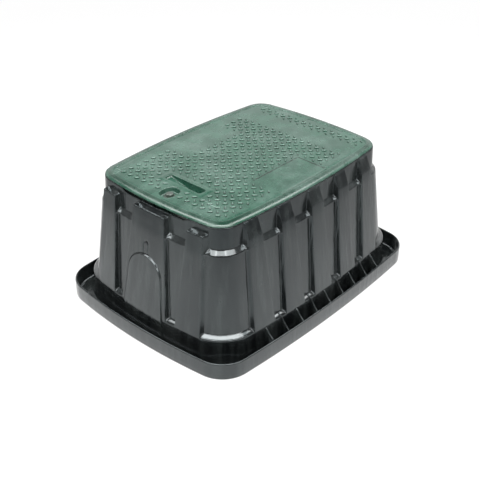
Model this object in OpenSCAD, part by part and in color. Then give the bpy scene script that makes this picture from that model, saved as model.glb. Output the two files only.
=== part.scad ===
// Rectangular in-ground valve box: a flared, ribbed plastic body with a tray
// foot, a green lift-off lid, and one lock bolt that screws into a spring clip.
// Origin at the centre of the foot on the ground, +X along the length, +Z up.

/* [Lid outline] */
// Length of the lid over its bowed ends
lid_length = 527.6; // [515:0.2:545]
// Width of the lid over its bowed sides
lid_width = 374; // [370:0.5:386]
// Corner radius of the lid
lid_corner = 43.5; // [38:0.5:46]
// How far each lid end bows outward
lid_bow_end = 16; // [10:0.5:20]
// How far each lid side bows outward
lid_bow_side = 17; // [12:0.5:20]

/* [Lid plate] */
// Height of the lid's upright edge
lid_edge = 4.4; // [3.6:0.1:6]
// Width of the sloped border round the tread field
border_width = 16; // [12:0.5:20]
// Rise of the sloped border
border_rise = 3; // [2:0.1:4]
// Rise of the tread field at its centre
crown = 3.2; // [2:0.1:3.4]
// Thickness of the lid plate
plate = 4.1; // [4.1:0.1:5]
// Depth of the skirt and stiffening ribs below the rim
skirt_depth = 16; // [10:0.5:18]
// Thickness of the skirt
skirt_wall = 3.5; // [2.5:0.1:4.5]
// Gap between the skirt and the body rim
skirt_gap = 2; // [1:0.1:3]
// Thickness of the stiffening ribs under the lid
lid_rib = 3; // [2:0.1:4]
// Spacing of the stiffening ribs across the lid
lid_rib_pitch = 110; // [100:1:120]
// Distance of the lengthwise stiffening ribs from the middle of the lid
lid_rib_y = 62; // [60:1:80]

/* [Lid pockets] */
// Distance of the lock bolt from the lid end
bolt_inset = 47; // [44:0.5:50]
// Length of the bolt pocket
pocket_length = 40; // [36:0.5:44]
// Width of the bolt pocket
pocket_width = 34; // [30:0.5:38]
// Corner radius of the bolt pocket
pocket_corner = 13; // [8:0.5:14]
// Depth of the bolt pocket below the tread field
pocket_depth = 11.5; // [10.5:0.1:12.5]
// Thickness of the pocket walls and floors
pocket_wall = 3; // [2.4:0.1:4]
// Distance of the shovel slot from the lid end
slot_inset = 90.3; // [85:0.5:96]
// Length of the shovel slot across the lid
slot_length = 100; // [80:1:110]
// Width of the shovel slot
slot_width = 19; // [14:0.5:22]
// Depth of the shovel slot at its shallow end
slot_shallow = 4; // [3:0.5:6]
// Depth of the shovel slot at its deep end
slot_deep = 20; // [16:0.5:21]

/* [Body wall] */
// Height of the body rim above the ground
body_height = 289.8; // [270:0.2:310]
// Thickness of the body wall
wall = 4; // [3:0.1:4.6]
// Width of the rim that the lid rests on
rim_wall = 5; // [4:0.1:6]
// How far the rim stands out from the lid edge
rim_out = 0.5; // [0:0.1:1.5]
// Depth of the relief in the rim at each end
rim_relief = 3.5; // [2:0.1:4.5]
// Length of the relief in the rim at each end
relief_length = 158; // [152:1:160]
// Outward flare of the body at the foot
foot_out = 44.5; // [42:0.5:47]
// Height of the upright foot below the flared wall
foot_height = 60; // [56:0.5:61]
// Depth of the neck below the rim, down to the upper ledge
neck_depth = 45; // [40:0.5:48]
// Outward step of the upper ledge between ribs
upper_step = 8; // [6:0.5:10]
// Fall of the upper ledge between ribs
upper_fall = 10; // [8:0.5:14]
// Outward flare of the recessed wall where it meets the lower ledge
bay_out = 32; // [29:0.5:34]
// Height of the lower ledge between ribs
ledge_height = 67; // [66:0.5:72]
// Fall of the lower ledge between ribs
lower_fall = 5; // [4:0.5:6]
// Outward reach of the lower ledge
ledge_out = 41; // [39:0.5:42]

/* [Wall ribs] */
// Number of ribs on each side wall
side_ribs = 5; // [3:1:5]
// Width of a side rib at the rim
side_rib_top = 32; // [28:0.5:36]
// Width of a side rib at the foot
side_rib_foot = 56; // [52:0.5:60]
// Distance from the corner centre to the last side rib
side_rib_inset = 32; // [30:0.5:36]
// Width of the end panel at the rim
panel_top = 82; // [78:0.5:90]
// Width of the end panel at the foot
panel_foot = 127; // [122:0.5:130]
// Width of an end rib at the rim
end_rib_top = 36; // [32:0.5:38]
// Width of an end rib at the foot
end_rib_foot = 62; // [58:0.5:64]
// Distance of the end ribs from the middle of the end
end_rib_y = 120.5; // [120:0.5:122]
// Width of the drafted flank of a rib
rib_flank = 4.5; // [4:0.1:5]
// Outward reach of the ribs just under the rim
crest_out = 12; // [10:0.5:14]
// Depth below the rim where the rib reach is measured
crest_drop = 13; // [12:0.5:15]
// Depth of the side rib shoulders below the rim
side_shoulder = 4.8; // [4.5:0.1:6]
// Depth of the end panel shoulder below the rim
panel_shoulder = 6.8; // [6:0.1:8]
// Depth of the end rib shoulders below the rim
end_shoulder = 14.8; // [12:0.1:17]

/* [Tray foot] */
// Gap between the wall foot and the lip at the ends
channel_end = 21.7; // [18:0.1:24]
// Gap between the wall foot and the lip at the sides
channel_side = 18.4; // [16:0.1:21]
// Height of the upturned lip
lip_height = 37.4; // [32:0.2:42]
// Thickness of the lip
lip_wall = 4; // [3:0.1:5]
// Thickness of the tray floor
floor_wall = 4; // [3:0.1:6]
// Corner radius of the lip
lip_corner = 67; // [60:0.5:75]
// How far each lip end bows outward
lip_bow_end = 23; // [18:0.5:26]
// How far each lip side bows outward
lip_bow_side = 18; // [14:0.5:20]
// Thickness of the gussets between wall and lip
gusset = 3; // [2:0.1:4]

/* [Pipe knockouts] */
// Radius of the arched pipe knockout
knockout_radius = 47; // [42:0.5:48]
// Height of the arch centre above the ground
knockout_height = 138; // [128:0.5:145]
// Outward spread of the arch legs down to the foot
leg_spread = 9; // [6:0.5:10]
// Width of the score line round a knockout
score_width = 2.5; // [2:0.1:3]
// Depth of the score line round a knockout
score_depth = 2; // [1.6:0.1:2.4]
// Half width of the pull tab over the arch
tab_radius = 6; // [5:0.5:8]
// Height of the pull tab over the arch
tab_height = 22; // [18:0.5:26]

/* [Lock] */
// Diameter of the lock bolt
bolt_d = 9.5; // [8:0.1:9.5]
// Length of the lock bolt below its head
bolt_length = 57; // [50:0.5:62]
// Width of the hex head across its flats
head_flats = 14.3; // [13:0.1:16]
// Height of the hex head
head_height = 6; // [5:0.1:6.5]
// Outside diameter of the washer
washer_d = 24; // [20:0.5:26]
// Thickness of the washer
washer_t = 1.6; // [1.2:0.1:2]
// Clearance on the bolt's diameter in the washer and the lid
bolt_play = 1.2; // [0.8:0.1:1.6]
// Clearance on the bolt's diameter in the nut of the clip
nut_play = 0.12; // [0.04:0.02:0.18]
// Depth of the clip shelf below the rim
shelf_drop = 24; // [22:0.5:28]
// Thickness of the clip shelf
shelf_t = 5; // [4:0.1:6]
// Width of the clip shelf
shelf_width = 44; // [36:0.5:60]
// Distance from the bolt axis to the free edge of the shelf
shelf_reach = 22; // [20:0.5:26]
// Thickness of the clip's sheet metal
clip_t = 1.2; // [0.8:0.1:1.6]
// Width of the clip
clip_width = 25; // [20:0.5:30]
// Height of the nut under the clip
nut_height = 7; // [5:0.1:9]
// Outside diameter of the nut under the clip
nut_d = 16; // [14:0.5:18]

/* [Hidden] */
$fn = 64;
lid_c = lid_length / 2;
lid_d = lid_width / 2;
lip_z = lip_height;
rim_z = body_height;
lid_top = rim_z + lid_edge;
field_z = lid_top + border_rise;
border_end = border_width + 1.5;
END = 0;
CORNER = 1;
SIDE = 2;
FAR_CORNER = 3;
SIDE_RIB = 0;
PANEL = 1;
END_RIB = 2;
corner_steps = 6;
corner_first = 0.26;

// A bowed rounded rectangle. Each side is a shallow arc, and each corner a
// fillet tangent to both arcs.
// It is kept as [end radius, side radius, end centre x, side centre y,
// corner centre, corner radius, corner angle at the end, at the side].
function bow_radius(half, bow) = (half * half + bow * bow) / (2 * bow);
function circles_meet(p, rp, q, rq) =
    let (gap = norm(q - p), u = (q - p) / gap)
    let (along = (rp * rp - rq * rq + gap * gap) / (2 * gap))
    let (off = sqrt(rp * rp - along * along))
    p + along * u + off * [-u.y, u.x];
function outline(half_x, half_y, bow_x, bow_y, corner) =
    let (re = bow_radius(half_y, bow_x), rs = bow_radius(half_x, bow_y))
    let (ex = half_x - re, sy = half_y - rs)
    let (cc = circles_meet([ex, 0], re - corner, [0, sy], rs - corner))
    [re, rs, ex, sy, cc, corner, atan2(cc.y, cc.x - ex), atan2(cc.y - sy, cc.x)];

// Points of an outline grown outward by g. An end point past the end arc runs
// on round the corner.
function end_point(o, g, y) =
    let (past = abs(y) - (o[0] + g) * sin(o[6]), a = o[6] + past / (o[5] + g) * 180 / PI)
    let (turned = o[4] + (o[5] + g) * [cos(a), sin(a)])
    past > 0 ? [turned.x, sign(y) * turned.y] : [o[2] + sqrt(pow(o[0] + g, 2) - y * y), y];
function side_point(o, g, x) = [x, o[3] + sqrt(pow(o[1] + g, 2) - x * x)];
function corner_point(o, g, t) =
    let (a = o[6] + (o[7] - o[6]) * t)
    o[4] + (o[5] + g) * [cos(a), sin(a)];
function corner_centre(o) = o[4];

// A closed ring of points round a grown outline
function half_ring(o, g, n_end, n_side, n_corner) = concat(
    [for (k = [1 - n_end : n_end - 1]) end_point(o, g, k / n_end * corner_point(o, g, 0).y)],
    [for (k = [0 : n_corner]) corner_point(o, g, k / n_corner)],
    [for (k = [n_side - 1 : -1 : 1 - n_side]) side_point(o, g, k / n_side * corner_point(o, g, 1).x)],
    [for (k = [n_corner : -1 : 0]) let (p = corner_point(o, g, k / n_corner)) [-p.x, p.y]]);
function ring(o, g, n_end = 5, n_side = 7, n_corner = corner_steps) =
    let (half = half_ring(o, g, n_end, n_side, n_corner))
    concat(half, [for (p = half) -p]);

lid_line = outline(lid_c, lid_d, lid_bow_end, lid_bow_side, lid_corner);
lip_line = outline(
    lid_c + foot_out + channel_end + lip_wall,
    lid_d + foot_out + channel_side + lip_wall,
    lip_bow_end, lip_bow_side, lip_corner);
corner_x = corner_centre(lid_line).x;

// Closed solid through a list of rings that all have as many points
function at_height(points, z) = [for (p = points) [p.x, p.y, z]];
function loft_faces(rings, count, closed) = [
    for (j = [0 : rings - (closed ? 1 : 2)], i = [0 : count - 1])
        let (a = j * count + i, b = j * count + (i + 1) % count)
        let (c = ((j + 1) % rings) * count + (i + 1) % count, d = ((j + 1) % rings) * count + i)
        for (f = [[a, c, b], [a, d, c]]) f];

// Growth of the wall over the lid outline, as a height of [z, growth] rows.
// The recessed bays step out at two ledges, and the ribs flare in one slope.
upper_ledge_z = rim_z - neck_depth;
upper_foot_z = upper_ledge_z - upper_fall;
lower_foot_z = ledge_height - lower_fall;
mid_wall_z = [0.45, 0.8];
neck_out = rim_out + 2;
crest_foot_out = foot_out - 1.5;
function crest_growth(z) = lookup(z, [
    [floor_wall, foot_out],
    [foot_height, crest_foot_out],
    [rim_z - crest_drop, crest_out],
    [rim_z, crest_out - crest_drop * (crest_foot_out - crest_out) / (rim_z - crest_drop - foot_height)]]);
function between(a, b, t) = a + (b - a) * t;
function bay_mid(t) = [
    between(upper_foot_z, ledge_height, t),
    between(neck_out + upper_step, bay_out, t)];
bay_rows = [
    [rim_z, rim_out],
    [rim_z - neck_depth / 2, rim_out + 1],
    [rim_z - neck_depth * 0.8, neck_out - 0.4],
    [upper_ledge_z, neck_out],
    [upper_foot_z, neck_out + upper_step],
    bay_mid(mid_wall_z[0]),
    bay_mid(mid_wall_z[1]),
    [ledge_height, bay_out],
    [lower_foot_z, ledge_out],
    [foot_height, crest_foot_out - 0.3],
    [floor_wall, foot_out]];
function shoulder_drop(kind) = [side_shoulder, panel_shoulder, end_shoulder][kind];
function crest_rows(kind) =
    let (top = rim_z - shoulder_drop(kind), neck = rim_out + 0.5, full = crest_growth(top - 8))
    concat(
        [[rim_z, rim_out], [top, neck], [top - 2.5, between(neck, full, 0.6)], [top - 8, full]],
        [for (k = [4 : 10]) [bay_rows[k][0], crest_growth(bay_rows[k][0])]]);

// Stations round the body: [zone, centre or fraction, side of the rib, 1 on a
// crest, rib kind, 1 in the rim relief]
function rib_stations(zone, centre, kind) = [
    [zone, centre, -1, 0, kind, 0],
    [zone, centre, -1, 1, kind, 0],
    [zone, centre, 1, 1, kind, 0],
    [zone, centre, 1, 0, kind, 0]];
function plain_station(zone, at, relief) = [zone, at, 0, 0, SIDE_RIB, relief];
relief_half = relief_length / 2;
relief_step = 2;
side_rib_x = corner_x - side_rib_inset;
side_pitch = 2 * side_rib_x / (side_ribs - 1);
panel_stations = [
    [END, 0, -1, 0, PANEL, 1],
    [END, 0, -1, 1, PANEL, 1],
    [END, -panel_top / 4, 0, 1, PANEL, 1],
    [END, 0, 0, 1, PANEL, 1],
    [END, panel_top / 4, 0, 1, PANEL, 1],
    [END, 0, 1, 1, PANEL, 1],
    [END, 0, 1, 0, PANEL, 1]];
end_stations = concat(
    rib_stations(END, -end_rib_y, END_RIB),
    [plain_station(END, -relief_half - relief_step, 0), plain_station(END, -relief_half, 1)],
    panel_stations,
    [plain_station(END, relief_half, 1), plain_station(END, relief_half + relief_step, 0)],
    rib_stations(END, end_rib_y, END_RIB));
side_stations = [
    for (k = [side_ribs - 1 : -1 : 0])
        let (row = rib_stations(SIDE, -side_rib_x + k * side_pitch, SIDE_RIB))
        for (j = [3 : -1 : 0]) row[j]];
half_stations = concat(
    end_stations,
    [for (k = [0 : corner_steps]) plain_station(CORNER, k / corner_steps, 0)],
    side_stations,
    [for (k = [corner_steps : -1 : 0]) plain_station(FAR_CORNER, k / corner_steps, 0)]);
stations = concat(
    [for (s = half_stations) concat(s, [1])],
    [for (s = half_stations) concat(s, [-1])]);

// Half width of a rib at height z, and where a station lies across it
function rib_half(kind, z) = lookup(z, [
    [foot_height, [side_rib_foot, panel_foot, end_rib_foot][kind] / 2],
    [rim_z, [side_rib_top, panel_top, end_rib_top][kind] / 2]]);
inner_shift = wall * 0.7;
function station_at(s, z, inner) =
    s[1] + s[2] * (rib_half(s[4], z) + (s[3] == 1 ? 0 : rib_flank) - (inner ? inner_shift : 0));
// The wall's corner stations start past the end rib, and the lip's at its arc
function zone_point(o, g, s, at) =
    s[0] == END ? end_point(o, g, at) :
    s[0] == SIDE ? side_point(o, g, at) :
    let (p = corner_point(o, g, o == lip_line ? at : between(corner_first, 1, at)))
    s[0] == CORNER ? p : [-p.x, p.y];
function station_point(o, g, z, s, inner = false) =
    let (p = zone_point(o, g, s, station_at(s, z, inner)))
    [s[6] * p.x, s[6] * p.y, z];
function wall_rows(s) = s[3] == 1 ? crest_rows(s[4]) : bay_rows;
function rim_height(s) = rim_z - s[5] * rim_relief;

// The section of the body at one station, once round the moulding: down the
// outside, across the tray, over the lip, along the ground and up the inside
lip_rows = [
    [floor_wall, -lip_wall - 0.8],
    [lip_z - 1.2, -lip_wall],
    [lip_z, -lip_wall + 1],
    [lip_z, -1],
    [lip_z - 1, 0],
    [1.5, 0],
    [0, -1.5]];
function section(s) =
    let (rows = wall_rows(s))
    concat(
        [station_point(lid_line, rim_out, rim_height(s), s)],
        [for (k = [1 : 10]) station_point(lid_line, rows[k][1], rows[k][0], s)],
        [for (r = lip_rows) station_point(lip_line, r[1], r[0], s)],
        [station_point(lid_line, foot_out - wall, 0, s, true)],
        [for (k = [9 : -1 : 1])
            station_point(lid_line, rows[k][1] - wall, rows[k][0] - wall * 0.75, s, true)],
        [station_point(lid_line, rim_out - rim_wall, rim_height(s), s, true)]);

module shell() {
    sections = [for (s = stations) section(s)];
    rows = len(sections[0]);
    polyhedron(
        points = [for (s = sections, p = s) p],
        faces = loft_faces(len(sections), rows, true),
        convexity = 10);
}

// Thin webs from the wall to the lip, low ones on the ribs and tall ones in
// the bays, where they start on the lower ledge
module gusset_plate(x, profile) {
    y_of = function(o, g) side_point(o, g, x).y;
    translate([x - gusset / 2, 0, 0])
        rotate([90, 0, 90])
            linear_extrude(gusset)
                polygon(concat(
                    [for (p = profile) [y_of(lid_line, p[1]), p[0]]],
                    [[y_of(lip_line, -lip_wall / 2), lip_z - 1.6], [y_of(lip_line, -lip_wall / 2), floor_wall / 2]]));
}
rib_gusset = [
    [floor_wall / 2, foot_out - wall / 2],
    [foot_height - 1, crest_foot_out - wall / 2]];
bay_gusset = [
    [floor_wall / 2, foot_out - wall / 2],
    [foot_height, crest_foot_out - wall / 2],
    [lower_foot_z + 1, ledge_out - 6],
    [ledge_height - 2, ledge_out - 9]];

module gussets() {
    for (flip = [0, 1], k = [0 : 2 * side_ribs - 2])
        mirror([0, flip, 0])
            gusset_plate(-side_rib_x + k * side_pitch / 2, k % 2 == 0 ? rib_gusset : bay_gusset);
}

// Score lines of the pipe knockout and its pull tab, cut into the end panel
panel_lean = atan((crest_foot_out - crest_out) / (rim_z - crest_drop - foot_height));
module arch_shape(r, drop, spread) {
    hull() {
        circle(r);
        translate([-r - spread, -drop])
            square([2 * (r + spread), 0.1]);
    }
}
module arch_score(r, drop, spread) {
    difference() {
        arch_shape(r + score_width / 2, drop, spread);
        arch_shape(r - score_width / 2, drop + 1, spread);
    }
}
module knockout_scores() {
    leg = (knockout_height - foot_height) / cos(panel_lean);
    face_x = -lid_c - crest_growth(knockout_height);
    translate([face_x, 0, knockout_height])
        rotate([0, panel_lean, 0])
            rotate([90, 0, -90])
                translate([0, 0, -score_depth])
                    linear_extrude(score_depth + 4) {
                        arch_score(knockout_radius, leg, leg_spread);
                        translate([0, knockout_radius + tab_height])
                            arch_score(tab_radius, tab_height - score_width / 2, 0);
                    }
    for (side = [-1, 1])
        translate([-lid_c - foot_out - 2, side * (knockout_radius + leg_spread) - score_width / 2, floor_wall + 1])
            cube([score_depth + 3, score_width, foot_height - floor_wall - 1]);
}

// Shelf inside one end that carries the clip, with webs under it
bolt_x = -lid_c + bolt_inset;
shelf_z = rim_z - shelf_drop;
module clip_shelf() {
    wall_x = -lid_c - crest_growth(shelf_z) + wall / 2;
    free_x = bolt_x + shelf_reach;
    difference() {
        union() {
            translate([wall_x, -shelf_width / 2, shelf_z - shelf_t])
                cube([free_x - wall_x, shelf_width, shelf_t]);
            for (side = [-1, 1])
                translate([wall_x, side * (shelf_width / 2 - wall / 2) + wall / 2, shelf_z - shelf_t / 2])
                    rotate([90, 0, 0])
                        linear_extrude(wall)
                            polygon([[0, 0], [free_x - wall_x - 8, 0], [0, -shelf_width]]);
        }
        translate([bolt_x, 0, shelf_z - shelf_t - 1])
            cylinder(d = bolt_d + 5, h = shelf_t + 2);
    }
}

module body() {
    color([0.13, 0.14, 0.14])
        union() {
            difference() {
                shell();
                knockout_scores();
                rotate([0, 0, 180])
                    knockout_scores();
            }
            gussets();
            clip_shelf();
        }
}

// The lid plate is a crowned shell on concentric rings of the lid outline, with
// the skirt that locates it inside the rim
skirt_out = rim_out - rim_wall - skirt_gap;
function scaled_ring(f, g) = [for (p = ring(lid_line, g)) f * p];
crown_steps = [0.8, 0.55, 0.3];
function crowned(f, z) = z + crown * (1 - f * f);
module lid_plate() {
    under_z = field_z - plate;
    low = rim_z - skirt_depth;
    rings = concat(
        [at_height(ring(lid_line, -0.8), rim_z)],
        [at_height(ring(lid_line, 0), rim_z + 0.8)],
        [at_height(ring(lid_line, 0), lid_top - 0.8)],
        [at_height(ring(lid_line, -0.8), lid_top)],
        [at_height(ring(lid_line, -border_width), field_z + 0.5)],
        [at_height(ring(lid_line, -border_end), field_z)],
        [for (f = crown_steps) at_height(scaled_ring(f, -border_end), crowned(f, field_z))]);
    under = concat(
        [for (k = [len(crown_steps) - 1 : -1 : 0])
            let (f = crown_steps[k]) at_height(scaled_ring(f, -border_end), crowned(f, under_z))],
        [at_height(ring(lid_line, -border_end), under_z)],
        [at_height(ring(lid_line, skirt_out - skirt_wall), under_z)],
        [at_height(ring(lid_line, skirt_out - skirt_wall), low)],
        [at_height(ring(lid_line, skirt_out), low)],
        [at_height(ring(lid_line, skirt_out), rim_z)]);
    count = len(rings[0]);
    top_centre = [0, 0, field_z + crown];
    low_centre = [0, 0, under_z + crown];
    top_first = 0;
    under_first = len(rings) * count;
    points = concat([for (r = rings, p = r) p], [for (r = under, p = r) p], [top_centre, low_centre]);
    top_ring = (len(rings) - 1) * count;
    last = len(points) - 2;
    shift = function(faces, by) [for (f = faces) [for (v = f) v + by]];
    seam = [for (i = [0 : count - 1])
        let (a = under_first + (len(under) - 1) * count + i, b = under_first + (len(under) - 1) * count + (i + 1) % count)
        for (f = [[a, (i + 1) % count, b], [a, i, (i + 1) % count]]) f];
    polyhedron(
        points = points,
        faces = concat(
            shift(loft_faces(len(rings), count, false), top_first),
            shift(loft_faces(len(under), count, false), under_first),
            seam,
            [for (i = [0 : count - 1]) [top_ring + i, last, top_ring + (i + 1) % count]],
            [for (i = [0 : count - 1]) [under_first + (i + 1) % count, last + 1, under_first + i]]),
        convexity = 6);
}

module flat_outline(g) {
    polygon(ring(lid_line, g));
}

// Stiffening ribs from skirt to skirt, clear of the pocket and the slot
rib_top_z = field_z + crown - plate + 0.4;
module lid_ribs() {
    low = rim_z - skirt_depth;
    translate([0, 0, low])
        linear_extrude(rib_top_z - low)
            intersection() {
                flat_outline(skirt_out - skirt_wall / 2);
                union() {
                    for (side = [-1, 1])
                        translate([-lid_c, side * lid_rib_y - lid_rib / 2])
                            square([lid_length, lid_rib]);
                    for (k = [-1 : 1])
                        translate([k * lid_rib_pitch - lid_rib / 2, -lid_d])
                            square([lid_rib, lid_width]);
                }
            }
}

module rounded_box(length, width, corner) {
    for (x = [-1, 1], y = [-1, 1])
        translate([x * (length / 2 - corner), y * (width / 2 - corner)])
            circle(corner);
    square([length, width - 2 * corner], center = true);
    square([length - 2 * corner, width], center = true);
}

pocket_floor = field_z - pocket_depth;
slot_x = -lid_c + slot_inset;
module slot_ramp(grow, top) {
    half = slot_length / 2;
    translate([slot_x - slot_width / 2 - grow, 0, 0])
        rotate([90, 0, 90])
            linear_extrude(slot_width + 2 * grow)
                polygon([
                    [-half - grow, top],
                    [-half - grow, field_z - slot_deep - grow],
                    [-half * 0.4, field_z - slot_deep - grow],
                    [half + grow, field_z - slot_shallow - grow],
                    [half + grow, top]]);
}

module lid() {
    color([0.13, 0.36, 0.27])
        difference() {
            union() {
                lid_plate();
                lid_ribs();
                translate([bolt_x, 0, pocket_floor - pocket_wall])
                    linear_extrude(pocket_depth + pocket_wall - 0.5)
                        rounded_box(pocket_length + 2 * pocket_wall, pocket_width + 2 * pocket_wall,
                            pocket_corner + pocket_wall);
                translate([bolt_x, 0, rim_z - skirt_depth])
                    cylinder(d = washer_d, h = skirt_depth);
                slot_ramp(pocket_wall, field_z - 0.5);
            }
            translate([bolt_x, 0, pocket_floor])
                linear_extrude(pocket_depth + crown + 5)
                    rounded_box(pocket_length, pocket_width, pocket_corner);
            translate([bolt_x, 0, 0])
                cylinder(d = bolt_d + bolt_play, h = lid_top);
            slot_ramp(0, field_z + crown + 5);
        }
}

module lock_bolt() {
    head_z = pocket_floor + washer_t;
    color([0.72, 0.72, 0.70])
        translate([bolt_x, 0, 0]) {
            translate([0, 0, head_z])
                cylinder(d = head_flats / cos(30), h = head_height, $fn = 6);
            translate([0, 0, head_z - bolt_length])
                cylinder(d = bolt_d, h = bolt_length);
        }
}

module bolt_washer() {
    color([0.78, 0.78, 0.76])
        translate([bolt_x, 0, pocket_floor])
            difference() {
                cylinder(d = washer_d, h = washer_t);
                translate([0, 0, -1])
                    cylinder(d = bolt_d + bolt_play, h = washer_t + 2);
            }
}

// Spring clip folded round the free edge of the shelf, with a nut under it
module lock_clip() {
    back = bolt_x - clip_width / 2;
    free_x = bolt_x + shelf_reach;
    low_z = shelf_z - shelf_t - clip_t;
    color([0.62, 0.63, 0.62])
        difference() {
            union() {
                translate([back, -clip_width / 2, shelf_z])
                    cube([free_x + clip_t - back, clip_width, clip_t]);
                translate([back, -clip_width / 2, low_z])
                    cube([free_x + clip_t - back, clip_width, clip_t]);
                translate([free_x, -clip_width / 2, low_z])
                    cube([clip_t, clip_width, shelf_t + 2 * clip_t]);
                translate([bolt_x, 0, low_z - nut_height])
                    cylinder(d = nut_d, h = nut_height + clip_t / 2);
            }
            translate([bolt_x, 0, low_z - nut_height - 1])
                cylinder(d = bolt_d + nut_play, h = nut_height + clip_t + 2);
            translate([bolt_x, 0, shelf_z - 0.5])
                cylinder(d = bolt_d + 2 * bolt_play, h = clip_t + 1);
        }
}

body();
lid();
lock_bolt();
bolt_washer();
lock_clip();
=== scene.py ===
"""Looks of an in-ground irrigation valve box: a black flared body with a tray foot, a green
tread lid, and the bolt, washer and spring clip that hold the lid down."""

import math

import bmesh
import bpy
import numpy as np
from mathutils import Matrix


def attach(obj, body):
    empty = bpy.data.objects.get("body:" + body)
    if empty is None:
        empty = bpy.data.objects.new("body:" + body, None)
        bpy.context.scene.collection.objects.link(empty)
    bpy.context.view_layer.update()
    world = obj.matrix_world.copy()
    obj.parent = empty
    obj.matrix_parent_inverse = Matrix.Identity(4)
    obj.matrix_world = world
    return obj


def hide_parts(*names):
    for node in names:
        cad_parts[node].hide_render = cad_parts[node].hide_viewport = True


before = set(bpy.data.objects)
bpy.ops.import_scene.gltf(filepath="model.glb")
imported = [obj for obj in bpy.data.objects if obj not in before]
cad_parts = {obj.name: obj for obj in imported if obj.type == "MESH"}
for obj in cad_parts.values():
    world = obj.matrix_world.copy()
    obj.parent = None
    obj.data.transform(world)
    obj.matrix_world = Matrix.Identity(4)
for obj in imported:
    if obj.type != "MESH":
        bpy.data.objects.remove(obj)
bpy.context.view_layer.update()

MM = 0.001
WELD = 1e-6

# Sizes in millimetres, the same as in the part's source
LID_HALF_X, LID_HALF_Y = 263.8, 187.0
LID_CORNER = 43.5
RIM_Z = 289.8
FIELD_Z = 297.2
FIELD_INSET = 17.5
FIELD_CORNER = LID_CORNER - FIELD_INSET
CROWN = 3.2
PLATE = 4.1
SKIRT_LOW = 273.8
RIM_OUT = 0.5
RIM_WALL = 5.0
WALL = 4.0
FOOT_OUT = 44.5
FOOT_Z = 60.0
FLOOR = 4.0
LIP_Z = 37.4
LIP_WALL = 4.0
RIB_FLANK = 3.2
CREST_FOOT = 43.0
CREST_OUT = 12.0
CREST_Z = 276.8
CAP = 8.0
CAP_FALL = 1.8
TAPER = 32.0
NUB_RISE, NUB_BAND = 4.5, (232, 237, 239, 247)
FOOT_LEDGE, UPPER_LEDGE = (60.3, 61.5, 67.5, 68.7), (233.3, 234.5, 245.0, 246.2)
CAP_PIT = np.array([-7.0, -5.8, -2.0, -0.8])
PIT_DEPTH = 14.0
# The last value is the lid's tone on the border's slope, set below plain so that the slope is painted darker
# as shade.
RING_POLISH, FACE_POLISH, PLAIN_POLISH, BORDER_SLOPE_PAINTED_SHADE = 0.5, 0.38, 0.25, 0.12
RELIEF_HALF = 90.0
RELIEF_DEPTH = 6.0
CORNER_FIRST = 0.26
BOLT_X = -216.8
SLOT_X = -173.5
POCKET_FLOOR = 285.7
SHELF_Z = 265.8
SHELF_T = 5.0
SHELF_HALF, SHELF_BORE = 22.0, 7.25
TREAD_HEIGHT, BAR_RISE = 1.95, 1.94
BOLT_R = 4.75
BOLT_END = 230.3
HEAD_LOW, HEAD_TOP = 287.3, 293.3
HEAD_FLAT = 7.15
THREAD_TOP, THREAD_PITCH, THREAD_DEPTH = 268.0, 1.5875, 0.8

END, CORNER, SIDE, FAR_CORNER = range(4)

# Ribs as (centre, half width at the rim, half width at the foot, depth of the shoulder)
SIDE_RIBS = [(x, 16.0, 28.0, 1.6) for x in (-180.0, -90.0, 0.0, 90.0, 180.0)]
END_RIBS = [(-120.5, 18.0, 31.0, 14.8), (0.0, 41.0, 63.5, 6.8), (120.5, 18.0, 31.0, 14.8)]
RIBS = {END: END_RIBS, CORNER: [], SIDE: SIDE_RIBS, FAR_CORNER: []}
LOW_SHOULDER = 4.0


class Outline:
    """A bowed rounded rectangle: shallow arcs on four sides, and fillets tangent to them."""

    def __init__(self, half_x, half_y, bow_x, bow_y, corner):
        self.end_r = (half_y**2 + bow_x**2) / (2 * bow_x)
        self.side_r = (half_x**2 + bow_y**2) / (2 * bow_y)
        self.end_x = half_x - self.end_r
        self.side_y = half_y - self.side_r
        start = np.array([self.end_x, 0.0])
        gap = np.array([0.0, self.side_y]) - start
        length = math.hypot(*gap)
        unit = gap / length
        to_end, to_side = self.end_r - corner, self.side_r - corner
        along = (to_end**2 - to_side**2 + length**2) / (2 * length)
        off = math.sqrt(to_end**2 - along**2)
        self.cx, self.cy = start + along * unit + off * np.array([-unit[1], unit[0]])
        self.corner = corner
        self.end_angle = math.atan2(self.cy, self.cx - self.end_x)
        self.side_angle = math.atan2(self.cy - self.side_y, self.cx)

    def end(self, grow, y):
        """Points at height y on the end arc grown outwards. Past the arc they run on round
        the corner by arc length."""
        past = np.abs(y) - (self.end_r + grow) * math.sin(self.end_angle)
        turn = self.end_angle + np.maximum(past, 0) / (self.corner + grow)
        radius = self.end_r + grow
        on_arc = self.end_x + np.sqrt(np.maximum(radius**2 - y**2, 0))
        x = np.where(past > 0, self.cx + (self.corner + grow) * np.cos(turn), on_arc)
        bent = np.sign(y) * (self.cy + (self.corner + grow) * np.sin(turn))
        return x, np.where(past > 0, bent, y)

    def side(self, grow, x):
        """Points at x on the side arc grown outwards."""
        return x, self.side_y + np.sqrt((self.side_r + grow) ** 2 - x**2)

    def turn(self, grow, t):
        """Points on the corner fillet, t from 0 at the end to 1 at the side."""
        angle = self.end_angle + (self.side_angle - self.end_angle) * t
        radius = self.corner + grow
        return self.cx + radius * np.cos(angle), self.cy + radius * np.sin(angle)


RIM = Outline(LID_HALF_X, LID_HALF_Y, 16.0, 17.0, LID_CORNER)
LIP = Outline(334.0, 253.75, 23.0, 18.0, 67.0)


def knee(x, soft):
    """x above 0 and 0 below it, with a parabola over plus and minus soft."""
    bend = (x + soft) ** 2 / (4 * soft)
    return np.where(x <= -soft, 0.0, np.where(x >= soft, x, bend))


def soft_step(x, start, stop):
    """0 below start and 1 above stop, with a smooth S between."""
    t = np.clip((x - start) / (stop - start), 0, 1)
    return t * t * (3 - 2 * t)


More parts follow.
